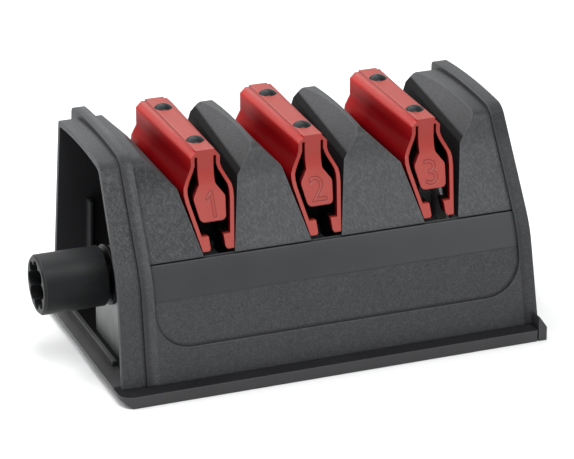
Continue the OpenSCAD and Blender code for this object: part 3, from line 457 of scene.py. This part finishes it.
def red_moulding():
    """Smooth red guide plastic, with painted shade deep between the core and the arms, on the side walls
    and in the numerals' lines, and lit and shaded copies of the red on its fronts, tops and bulb.
    """
    f = Finish("red_moulding")
    f.locate()
    away = f.from_stage()
    behind = f.behind_front()
    steps = [
        f.fade(f.z, z0, z1, 0.0, (w1 - w0) * MM) for (z0, w0), (z1, w1) in zip(ARM_LINE, ARM_LINE[1:])
    ]
    half = f.chain("ADD", *steps, ARM_LINE[0][1] * MM)
    shaded = f.product(
        f.past(f.math("SUBTRACT", half, away), 0.7),
        f.past(behind, 0.8, 2.2),
        f.short_of(f.z, GUIDE_STRIP_Z, 0.8),
        f.span(f.faces_y, 0.6, 0.3),
    )
    cloud = f.noise(70, 2.0, 0.5)
    flow = f.noise(1.0, 3.0, 0.6, f.stretched((420, 60, 160)))
    tone = f.blend(0.4, cloud, flow)

    # Lit and shaded copies of the red: fronts lighter, the bulb with a paler painted sheen towards its
    # foot, tops darker.
    stem_red = f.ramp(tone, (0.3, (0.34, 0.022, 0.014)), (0.7, (0.37, 0.026, 0.017)))
    bulb_red = f.ramp(tone, (0.3, (0.34, 0.046, 0.036)), (0.7, (0.37, 0.050, 0.039)))
    front_red = f.mix(f.fade(f.z, STEM_Z, BULB_Z, 0.0, 1.0), stem_red, bulb_red)
    top_red = f.ramp(tone, (0.3, (0.255, 0.019, 0.011)), (0.7, (0.285, 0.023, 0.014)))
    lit = f.mix(f.span(f.faces_z, 0.5, 0.95), front_red, top_red)

    soft = f.rounding(f.fade(behind, 1.0, 4.0, 0.6 * MM, 2.4 * MM))
    side, _, rise = f.parts(soft)
    # Painted shade on the side walls: a deep red, deeper still where the flare faces up, and painted light
    # towards the top and the back.
    sideways = f.span(f.math("ABSOLUTE", side), 0.60, 0.90)
    flare = f.product(f.span(rise, 0.10, 0.45), f.past(f.z, SHOULDER_Z, 5.0))
    deep = f.ramp(tone, (0.3, (0.16, 0.0008, 0.0026)), (0.7, (0.19, 0.0012, 0.0034)))
    deep = f.mix(flare, deep, (0.115, 0.0006, 0.0018))
    high = f.fade(f.z, STEM_Z, AIRY_TOP_Z, 0.0, 0.85)
    far = f.fade(f.y, AIRY_START_Y, AIRY_BACK_Y, 0.0, 0.75)
    side_light = f.span(f.math("ADD", high, far), 0.0, 1.0)
    red = f.mix(sideways, lit, f.mix(side_light, deep, (0.46, 0.014, 0.012)))
    # Painted shade in the numerals' engraved lines, just behind the front face.
    groove = f.product(
        f.past(behind, 0.04, 0.16),
        f.short_of(behind, 0.6, 0.2),
        f.short_of(away, CORE_HALF),
        f.past(f.z, CORE_LOW_Z),
        f.short_of(f.z, CORE_HIGH_Z),
    )
    red = f.mix(f.math("MULTIPLY", groove, 0.28), red, (0.10, 0.003, 0.004))
    # Painted shade, near black, deep between the core and the arms.
    f.feed("Base Color", f.mix(shaded, red, (0.006, 0.002, 0.002)))
    f.feed("Roughness", f.span(flow, 0.3, 0.7, 0.38, 0.48))
    gloss = f.blend(sideways, 0.5, f.span(side_light, 0.0, 1.0, 0.02, 0.07))
    f.feed("Specular IOR Level", f.blend(shaded, gloss, 0.05))
    f.feed("Normal", f.bump(f.noise(1500, 2.0, 0.5), 0.06, 0.1 * MM, soft))
    return f.material


def slate_rivet():
    """Glossy dark dome of the guide rivets."""
    f = Finish("slate_rivet", specular=0.12)
    cloud = f.noise(420, 3.0, 0.6)
    f.feed("Base Color", f.ramp(cloud, (0.3, srgb(18, 22, 23)), (0.7, srgb(28, 33, 34))))
    f.feed("Roughness", f.span(cloud, 0.3, 0.7, 0.18, 0.26))
    f.feed("Normal", f.bump(cloud, 0.08, 0.1 * MM))
    return f.material


def drawn_metal(name, low, high, roughness, stretch=(60, 1400, 1400), metallic=1.0):
    """Bare metal with fine lines along one way."""
    f = Finish(name, metallic=metallic)
    lines = f.noise(1.0, 4.0, 0.65, f.stretched(stretch))
    stain = f.noise(90, 3.0, 0.55)
    tone = f.blend(0.35, lines, stain)
    f.feed("Base Color", f.ramp(tone, (0.32, srgb(*low)), (0.68, srgb(*high))))
    f.feed("Roughness", f.span(tone, 0.3, 0.7, roughness - 0.08, roughness + 0.1))
    f.feed("Normal", f.bump(lines, 0.12, 0.08 * MM, f.rounding(0.3 * MM)))
    return f.material


def abrasive(name, low, high, rim, grit_scale, metallic):
    """Grit-coated disk whose rim is bare and bright."""
    f = Finish(name)
    _, y, z = f.parts(f.coords)
    dy = f.math("SUBTRACT", y, AXIS_Y * MM)
    dz = f.math("SUBTRACT", z, AXIS_Z * MM)
    radius = f.math("SQRT", f.math("ADD", f.product(dy, dy), f.product(dz, dz)))
    coated = f.product(f.past(radius, HUB_R, 0.5), f.short_of(radius, DISK_R - 0.7, 0.3))
    grit = f.noise(grit_scale, 4.0, 0.7)
    coat = f.ramp(grit, (0.3, srgb(*low)), (0.7, srgb(*high)))
    f.feed("Base Color", f.mix(coated, srgb(*rim), coat))
    f.feed("Roughness", f.span(coated, 0.0, 1.0, 0.34, 0.72))
    f.feed("Metallic", f.span(coated, 0.0, 1.0, metallic, 0.15))
    f.feed("Normal", f.bump(f.product(grit, coated), 0.5, 0.2 * MM))
    return f.material


def clean_copy(node, name):
    """A copy of a CAD node whose loose triangles are joined into flat faces."""
    mesh = nodes[node].data.copy()
    mesh.materials.clear()
    piece = bpy.data.objects.new(name, mesh)
    scene.collection.objects.link(piece)
    bm = bmesh.new()
    bm.from_mesh(mesh)
    bmesh.ops.remove_doubles(bm, verts=bm.verts, dist=3e-6)
    bmesh.ops.dissolve_degenerate(bm, edges=bm.edges, dist=1e-6)
    bmesh.ops.dissolve_limit(bm, angle_limit=math.radians(0.3), verts=bm.verts, edges=bm.edges)
    bm.to_mesh(mesh)
    bm.free()
    for layer in list(mesh.uv_layers):
        mesh.uv_layers.remove(layer)
    return piece


def plain_mesh(piece):
    """The mesh that a piece has once its curves and modifiers are worked out."""
    bpy.context.view_layer.update()
    graph = bpy.context.evaluated_depsgraph_get()
    return bpy.data.meshes.new_from_object(piece.evaluated_get(graph), depsgraph=graph)


def apply_modifiers(piece):
    """Turns a piece and its modifiers into a plain mesh."""
    mesh = plain_mesh(piece)
    piece.modifiers.clear()
    piece.data = mesh
    return piece


def shade(piece, crisp=CRISP):
    """Smooth over shallow folds, crisp at the others, and flat on the flats."""
    bm = bmesh.new()
    bm.from_mesh(piece.data)
    for face in bm.faces:
        face.smooth = True
    for edge in bm.edges:
        fold = edge.calc_face_angle(0.0) if len(edge.link_faces) == 2 else math.pi
        edge.smooth = fold < math.radians(crisp)
    bm.to_mesh(piece.data)
    bm.free()
    flats = piece.modifiers.new("flat_faces", "WEIGHTED_NORMAL")
    flats.mode = "FACE_AREA_WITH_ANGLE"
    flats.keep_sharp = True
    return apply_modifiers(piece)


def paint(piece, material):
    piece.data.materials.clear()
    piece.data.materials.append(material)
    for polygon in piece.data.polygons:
        polygon.material_index = 0


def finish_piece(piece, material, body, replaced):
    paint(piece, material)
    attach(piece, body)
    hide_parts(replaced)


def shaded_node(node, name, material, body, crisp=CRISP):
    finish_piece(shade(clean_copy(node, name), crisp), material, body, node)


def half_spring(grade, stage_x, side, material):
    """Half of a stage's spring, cut off at the middle of the stage, the half that the disk at its end
    presses on.
    """
    node = grade + "_spring"
    middle = stage_x * MM
    low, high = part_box(node)
    end, outwards = (low[0], -1) if side == "left" else (high[0], 1)
    piece = clean_copy(node, "wound_%s_spring_%s" % (grade, side))
    bm = bmesh.new()
    bm.from_mesh(piece.data)
    everything = bm.verts[:] + bm.edges[:] + bm.faces[:]
    bmesh.ops.bisect_plane(
        bm, geom=everything, plane_co=(middle, 0, 0), plane_no=(outwards, 0, 0), clear_inner=True
    )
    bmesh.ops.holes_fill(bm, edges=[edge for edge in bm.edges if edge.is_boundary])
    bmesh.ops.recalc_face_normals(bm, faces=bm.faces)
    bm.to_mesh(piece.data)
    bm.free()
    paint(shade(piece), material)
    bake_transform(piece)
    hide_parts(node)


def numeral_curve(figure):
    """The outline of a plain numeral as a thin round line."""
    if figure == "1":
        curve = bpy.data.curves.new("numeral_1", "CURVE")
        line = curve.splines.new("POLY")
        line.points.add(len(ONE_LINE) - 1)
        for point, (x, y) in zip(line.points, ONE_LINE):
            point.co = (x * MM, y * MM, 0, 1)
        line.use_cyclic_u = True
    else:
        curve = bpy.data.curves.new("numeral_" + figure, "FONT")
        curve.body = figure
        curve.size = NUMERAL_SIZE * MM
        curve.resolution_u = 5
    curve.dimensions = "2D"
    curve.fill_mode = "NONE"
    curve.bevel_depth = NUMERAL_LINE_R * MM
    curve.bevel_resolution = 1
    return curve


def engraver(figure, stage_x):
    """A numeral's outline lying on the guide's sloping face, to be cut out of it."""
    drawn = bpy.data.objects.new("numeral_" + figure, numeral_curve(figure))
    scene.collection.objects.link(drawn)
    mesh = plain_mesh(drawn)
    bpy.data.objects.remove(drawn)
    xs = [v.co.x for v in mesh.vertices]
    ys = [v.co.y for v in mesh.vertices]
    mesh.transform(Matrix.Translation((-(min(xs) + max(xs)) / 2, -(min(ys) + max(ys)) / 2, 0)))
    y = BEND_Y + (NUMERAL_Z - BEND_Z) * math.tan(math.radians(UP_LEAN))
    lean = Matrix.Rotation(math.radians(90 - UP_LEAN), 4, "X")
    mesh.transform(Matrix.Translation((stage_x * MM, y * MM, NUMERAL_Z * MM)) @ lean)
    cutter = bpy.data.objects.new("cutter_" + figure, mesh)
    scene.collection.objects.link(cutter)
    bm = bmesh.new()
    bm.from_mesh(mesh)
    bmesh.ops.remove_doubles(bm, verts=bm.verts, dist=1e-6)
    bmesh.ops.recalc_face_normals(bm, faces=bm.faces)
    bm.to_mesh(mesh)
    bm.free()
    return cutter


def knife_guide(number, stage_x, material):
    """One red guide with its stage number cut into the core."""
    node = "guide_%d" % number
    piece = clean_copy(node, "knife_" + node)
    cutter = engraver(str(number), stage_x)
    cut = piece.modifiers.new("numeral", "BOOLEAN")
    cut.operation = "DIFFERENCE"
    cut.solver = "EXACT"
    cut.use_self = True
    cut.object = cutter
    apply_modifiers(piece)
    bpy.data.objects.remove(cutter)
    finish_piece(shade(piece), material, "root", node)


class Recipe(Wiring):
    """A Geometry Nodes tree being wired for a fastener, with named inputs."""

    SIZES = ("Head_diameter", "Head_height", "Shank_diameter", "Shank_length")

    def __init__(self, name, **inputs):
        super().__init__(bpy.data.node_groups.new(name, "GeometryNodeTree"))
        face = self.tree.interface
        face.new_socket("Geometry", in_out="INPUT", socket_type="NodeSocketGeometry")
        inputs = {**dict.fromkeys(self.SIZES, "Float"), **inputs, "Seed": "Int", "Material": "Material"}
        self.sockets = {}
        for label, kind in inputs.items():
            made = face.new_socket(label.replace("_", " "), in_out="INPUT", socket_type="NodeSocket" + kind)
            self.sockets[label] = made.identifier
        face.new_socket("Geometry", in_out="OUTPUT", socket_type="NodeSocketGeometry")
        self.start = self.node("NodeGroupInput")
        self.end = self.node("NodeGroupOutput")

    def given(self, label):
        return self.start.outputs[label.replace("_", " ")]

    def vector(self, x=0.0, y=0.0, z=0.0):
        return self.node("ShaderNodeCombineXYZ", X=x, Y=y, Z=z).outputs[0]

    def raised(self, geometry, by):
        lift = self.vector(z=by)
        return self.node("GeometryNodeTransform", Geometry=geometry, Translation=lift).outputs[0]

    def joined(self, *parts):
        return self.node("GeometryNodeJoinGeometry", numbered=[(0, part) for part in parts]).outputs[0]

    def rod(self, diameter, length, sides=32):
        radius = self.math("MULTIPLY", diameter, 0.5)
        made = self.node("GeometryNodeMeshCylinder", Radius=radius, Depth=length, Vertices=sides)
        return made.outputs["Mesh"]

    def shank(self):
        rod = self.rod(self.given("Shank_diameter"), self.given("Shank_length"))
        return self.raised(rod, self.math("MULTIPLY", self.given("Shank_length"), -0.5))

    def repeat(self, piece):
        """Sets the piece on every point, each turned by chance, and gives it its material."""
        turn = self.node("FunctionNodeRandomValue", {"data_type": "FLOAT"})
        low, high = (s for s in turn.inputs if s.type == "VALUE" and s.name in ("Min", "Max") and s.enabled)
        low.default_value, high.default_value = 0.0, 2 * math.pi
        self.put(self.given("Seed"), turn.inputs["Seed"])
        angle = next(s for s in turn.outputs if s.enabled)
        turned = self.node("FunctionNodeEulerToRotation", Euler=self.vector(z=angle)).outputs[0]
        placed = self.node(
            "GeometryNodeInstanceOnPoints", Points=self.given("Geometry"), Instance=piece, Rotation=turned
        )
        real = self.node("GeometryNodeRealizeInstances", Geometry=placed.outputs[0])
        painted = self.node(
            "GeometryNodeSetMaterial", Geometry=real.outputs[0], Material=self.given("Material")
        )
        self.link(painted.outputs[0], self.end.inputs[0])

    def make(self, name, points, **values):
        """A plain mesh made by this tree on the points, which are in millimetres."""
        mesh = bpy.data.meshes.new(name)
        mesh.from_pydata([Vector(p) * MM for p in points], [], [])
        piece = bpy.data.objects.new(name, mesh)
        scene.collection.objects.link(piece)
        modifier = piece.modifiers.new(name, "NODES")
        modifier.node_group = self.tree
        for label, value in values.items():
            modifier[self.sockets[label]] = value
        return apply_modifiers(piece)


def rivet_recipe():
    """Low domed head on a shank, set head up."""
    r = Recipe("domed_rivet")
    wide, high = r.math("MULTIPLY", r.given("Head_diameter"), 0.5), r.given("Head_height")
    squares = r.math("ADD", r.product(wide, wide), r.product(high, high))
    dome_r = r.math("DIVIDE", squares, r.math("MULTIPLY", high, 2.0))
    ball = r.node("GeometryNodeMeshUVSphere", Segments=64, Rings=72, Radius=dome_r).outputs["Mesh"]
    ball = r.raised(ball, r.math("SUBTRACT", high, dome_r))
    place = r.node("GeometryNodeInputPosition").outputs[0]
    height = r.node("ShaderNodeSeparateXYZ", Vector=place).outputs["Z"]
    less = {"data_type": "FLOAT", "operation": "LESS_THAN"}
    below = r.node("FunctionNodeCompare", less, ((0, height), (1, -0.2 * MM))).outputs[0]
    dome = r.node("GeometryNodeDeleteGeometry", {"domain": "POINT"}, Geometry=ball, Selection=below)
    r.repeat(r.joined(dome.outputs[0], r.shank()))
    return r


def screw_recipe():
    """Pan head with a cross recess on a shank, set head up or, with a negative Side, head down."""
    r = Recipe("pan_screw", Side="Float")
    wide, high = r.given("Head_diameter"), r.given("Head_height")
    foot = r.raised(r.rod(wide, r.math("MULTIPLY", high, 0.6), 48), r.math("MULTIPLY", high, 0.3))
    cap = r.node(
        "GeometryNodeMeshCone", Vertices=48, Radius_Top=r.math("MULTIPLY", wide, 0.35),
        Radius_Bottom=r.math("MULTIPLY", wide, 0.5), Depth=r.math("MULTIPLY", high, 0.4),
    ).outputs["Mesh"]
    cap = r.raised(cap, r.math("MULTIPLY", high, 0.6))
    slots = []
    for long_x, long_y in ((0.52, 0.12), (0.12, 0.52)):
        size = r.vector(r.math("MULTIPLY", wide, long_x), r.math("MULTIPLY", wide, long_y), high)
        cube = r.node("GeometryNodeMeshCube", Size=size).outputs["Mesh"]
        slots.append(r.raised(cube, r.math("MULTIPLY", high, 0.98)))
    union, difference = ({"operation": kind, "solver": "EXACT"} for kind in ("UNION", "DIFFERENCE"))
    head = r.node("GeometryNodeMeshBoolean", union, ((1, foot), (1, cap))).outputs[0]
    taken = [(1, slot) for slot in slots]
    cut = r.node("GeometryNodeMeshBoolean", difference, [(0, head), *taken]).outputs[0]
    over = r.math("MULTIPLY", r.math("SUBTRACT", 1.0, r.given("Side")), math.pi / 2)
    whole = r.node("GeometryNodeTransform", Geometry=r.joined(cut, r.shank()), Rotation=r.vector(x=over))
    r.repeat(whole.outputs[0])
    return r


def dress(node, material):
    """A CAD node that keeps its own mesh under a better material."""
    data = nodes[node].data
    data.materials.clear()
    data.materials.append(material)


def soft_light(name, at, aimed_height, size, energy):
    data = bpy.data.lights.new(name, "AREA")
    data.shape = "RECTANGLE"
    data.size, data.size_y = size
    data.energy = energy
    lamp = bpy.data.objects.new(name, data)
    lamp.location = at
    aim = Vector((0.0, 0.0, aimed_height)) - lamp.location
    lamp.rotation_euler = aim.to_track_quat("-Z", "Y").to_euler()
    scene.collection.objects.link(lamp)


def given_and_shown(tree, output, kind, given, shown):
    """One shader for the light that is given, and another for the eye, reflections and refractions."""
    tree.nodes.clear()
    w = Wiring(tree)
    path = w.node("ShaderNodeLightPath")
    rays = ("Is Camera Ray", "Is Glossy Ray", "Is Transmission Ray")
    seen = w.most(*(path.outputs[ray] for ray in rays))
    light, look = (w.node(kind, **inputs).outputs[0] for inputs in (given, shown))
    mix = w.node("ShaderNodeMixShader", numbered=((0, seen), (1, light), (2, look)))
    w.node(output, Surface=mix.outputs[0])


def white_room():
    """White to the eye and in reflections, softer as a source of light."""
    world = bpy.data.worlds.new("studio")
    scene.world = world
    world.use_nodes = True
    fill = {"Color": (0.96, 0.98, 1.0, 1), "Strength": ROOM_FILL}
    white = {"Color": (1, 1, 1, 1)}
    given_and_shown(world.node_tree, "ShaderNodeOutputWorld", "ShaderNodeBackground", fill, white)


def pale_floor():
    """Pale floor that keeps the shadow, a little whiter to the eye than the light it gives back."""
    mesh = bpy.data.meshes.new("floor")
    corners = [(x * FLOOR_HALF, y * FLOOR_HALF, 0) for x, y in ((-1, -1), (1, -1), (1, 1), (-1, 1))]
    mesh.from_pydata(corners, [], [(0, 1, 2, 3)])
    floor = bpy.data.objects.new("floor", mesh)
    scene.collection.objects.link(floor)
    material = bpy.data.materials.new("pale_floor")
    material.use_nodes = True
    given, shown = ({"Color": (grey, grey, grey, 1)} for grey in (FLOOR_GIVEN, FLOOR_SHOWN))
    given_and_shown(material.node_tree, "ShaderNodeOutputMaterial", "ShaderNodeBsdfDiffuse", given, shown)
    mesh.materials.append(material)


def studio():
    white_room()
    pale_floor()
    for name, (at, aimed_height, size, energy) in LIGHTS.items():
        soft_light(name, at, aimed_height, size, energy)
    scene.view_settings.view_transform = "Standard"


photo_camera()
studio()

housing_finish = eroded_grain()
base_finish = black_moulding("base_black", (45, 45, 47), 0.5)
coupling_finish = black_moulding("coupling_black", (28, 29, 30), 0.45, 1400, 0.12, gloss=0.08)
bush_finish = black_moulding("bush_black", (14, 14, 15), 0.40, 1400, 0.1, 0.3, gloss=0.15)
guide_finish = red_moulding()
rivet_finish = slate_rivet()
sheet_finish = drawn_metal("zinc_sheet", (116, 118, 118), (144, 146, 146), 0.45, (900, 900, 40), 0.6)
shaft_finish = drawn_metal("ground_steel", (165, 167, 170), (205, 207, 210), 0.3)
wire_finish = drawn_metal("spring_wire", (150, 152, 155), (196, 198, 201), 0.32)
screw_finish = drawn_metal("zinc_screw", (168, 170, 172), (204, 206, 208), 0.38, (800, 800, 800))
black_screw_finish = drawn_metal("black_screw", (34, 34, 36), (58, 58, 60), 0.45, (800, 800, 800), 0.6)
disk_finishes = {
    "coarse": abrasive("coarse_grit", (18, 18, 18), (34, 34, 33), (226, 227, 227), 2600, 0.2),
    "fine": abrasive("fine_grit", (22, 22, 22), (40, 40, 39), (226, 227, 227), 3800, 0.2),
    "polish": abrasive("polishing_compound", (172, 173, 172), (198, 199, 198), (214, 215, 215), 2200, 0.0),
}

shaded_node("housing", "moulded_housing", housing_finish, "root", HOUSING_CRISP)
shaded_node("base_plate", "moulded_base", base_finish, "root")
shaded_node("left_bracket", "pressed_left_bracket", sheet_finish, "root")
shaded_node("right_bracket", "pressed_right_bracket", sheet_finish, "root")
shaded_node("left_bush", "flanged_left_bush", bush_finish, "root")
shaded_node("right_bush", "flanged_right_bush", bush_finish, "root")
shaded_node("drive_coupling", "lobed_coupling", coupling_finish, "rotor")
shaded_node("drive_shaft", "turned_shaft", shaft_finish, "rotor")
for number, stage_x in enumerate(STAGES, 1):
    knife_guide(number, stage_x, guide_finish)
for stage_x, (grade, material) in zip(STAGES, disk_finishes.items()):
    for side in ("left", "right"):
        disk = "%s_disk_%s" % (grade, side)
        shaded_node(disk, "turned_" + disk, material, "%s_%s" % (grade, side))
        half_spring(grade, stage_x, side, wire_finish)

rivets = rivet_recipe().make(
    "domed_guide_rivets",
    [(x, y, GUIDE_TOP_Z) for x in STAGES for y in RIVET_YS],
    **RIVET, Shank_length=RIVET_LENGTH, Seed=3, Material=rivet_finish,
)
finish_piece(shade(rivets), rivet_finish, "root", "guide_rivets")

pan_screw = screw_recipe()
base_screws = pan_screw.make(
    "cross_base_screws",
    [(x, y, BASE_SCREW_Z) for x in BASE_SCREW_XS for y in BASE_SCREW_YS],
    **SCREW, Shank_length=BASE_SCREW_LENGTH, Side=-1.0, Seed=5, Material=black_screw_finish,
)
finish_piece(shade(base_screws), black_screw_finish, "root", "base_screws")
bracket_screws = pan_screw.make(
    "cross_bracket_screws",
    [(x, y, BRACKET_SCREW_Z) for x in BRACKET_SCREW_XS for y in BRACKET_SCREW_YS],
    **SCREW, Shank_length=BRACKET_SCREW_LENGTH, Side=1.0, Seed=8, Material=screw_finish,
)
finish_piece(shade(bracket_screws), screw_finish, "root", "bracket_screws")

dress("coupling_pin", shaft_finish)
dress("drive_pins", shaft_finish)
dress("shaft_clip", wire_finish)
